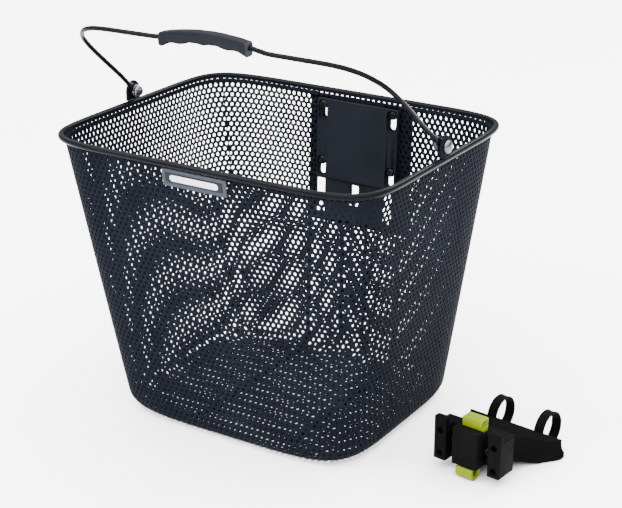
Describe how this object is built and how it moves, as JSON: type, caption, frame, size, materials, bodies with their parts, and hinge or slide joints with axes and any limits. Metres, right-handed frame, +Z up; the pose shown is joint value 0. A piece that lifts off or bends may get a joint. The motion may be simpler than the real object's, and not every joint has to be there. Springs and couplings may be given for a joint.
{
  "type": "handlebar basket with quick-release bracket",
  "caption": "Tapered perforated-metal bicycle basket with a rounded rim, swinging wire handle with finger grip, screwed mounting plates, and a separate quick-release handlebar bracket.",
  "frame": {"origin": "on the ground under the middle of the rim; the basket's flat floor rests at z = 0", "axes": "+Z up; +Y towards the back wall that carries the mounting plates; +X to the right of someone who looks at the front wall"},
  "size_m": [0.4729, 0.2979, 0.4028],
  "materials": {
    "powder_coat": "satin black powder coat",
    "black_plastic": "fine matte",
    "slate_plastic": "soft satin",
    "badge_grey": "satin blue-grey",
    "badge_field": "smooth dark",
    "zinc": "zinc plated",
    "black_steel": "black oxide",
    "lime_plastic": "semi-gloss lime"
  },
  "bodies": {
    "basket": {"mesh_wall": "powder_coat", "mesh_floor": "powder_coat", "rim_bead": "powder_coat", "rim_hem": "powder_coat", "brace_wire_left": "powder_coat", "brace_wire_right": "powder_coat", "brace_loop": "powder_coat", "lug_left": "powder_coat", "lug_right": "powder_coat", "pivot_bolt_left": "zinc", "pivot_bolt_right": "zinc", "pivot_washer_left": "zinc", "pivot_washer_right": "zinc", "lock_nut_left": "zinc", "lock_nut_right": "zinc", "badge_frame": "badge_grey", "badge_inlay": "badge_field", "inner_plate": "black_plastic", "outer_plate": "black_plastic", "plate_screw_1": "zinc", "plate_screw_2": "zinc", "plate_screw_3": "zinc", "plate_screw_4": "zinc", "plate_nut_1": "zinc", "plate_nut_2": "zinc", "plate_nut_3": "zinc", "plate_nut_4": "zinc"},
    "handle": {"handle_wire": "powder_coat", "grip": "slate_plastic"},
    "bracket": {"bracket_front": "black_plastic", "bracket_yoke": "black_plastic", "clamp_strap_left": "black_plastic", "clamp_strap_right": "black_plastic", "strap_screw_left": "black_steel", "strap_screw_right": "black_steel", "joining_screw_left": "black_steel", "joining_screw_right": "black_steel", "release_spring": "zinc"},
    "button": {"release_button": "lime_plastic"},
    "latch": {"latch": "lime_plastic"}
  },
  "joints": [
    {"name": "handle_swing", "type": "hinge", "parent": "basket", "child": "handle", "pos_m": [0, 0, 0.2985], "axis": [1, 0, 0], "range_deg": [-138.5, 40.5]},
    {"name": "bracket_lift", "type": "slide", "parent": "basket", "child": "bracket", "axis": [0, 0, 1], "range_m": [0, 0.3]},
    {"name": "button_press", "type": "slide", "parent": "bracket", "child": "button", "axis": [0, 0, -1], "range_m": [0, 0.004], "stiffness_N_per_m": 900, "springref_m": -0.002, "deforming": ["release_spring"]},
    {"name": "latch_draw", "type": "slide", "parent": "bracket", "child": "latch", "axis": [0.1167, 0.9932, 0], "range_m": [0, 0.004]}
  ],
  "couplings": [
    {"joint": "latch_draw", "follows": "button_press", "ratio": 1}
  ]
}
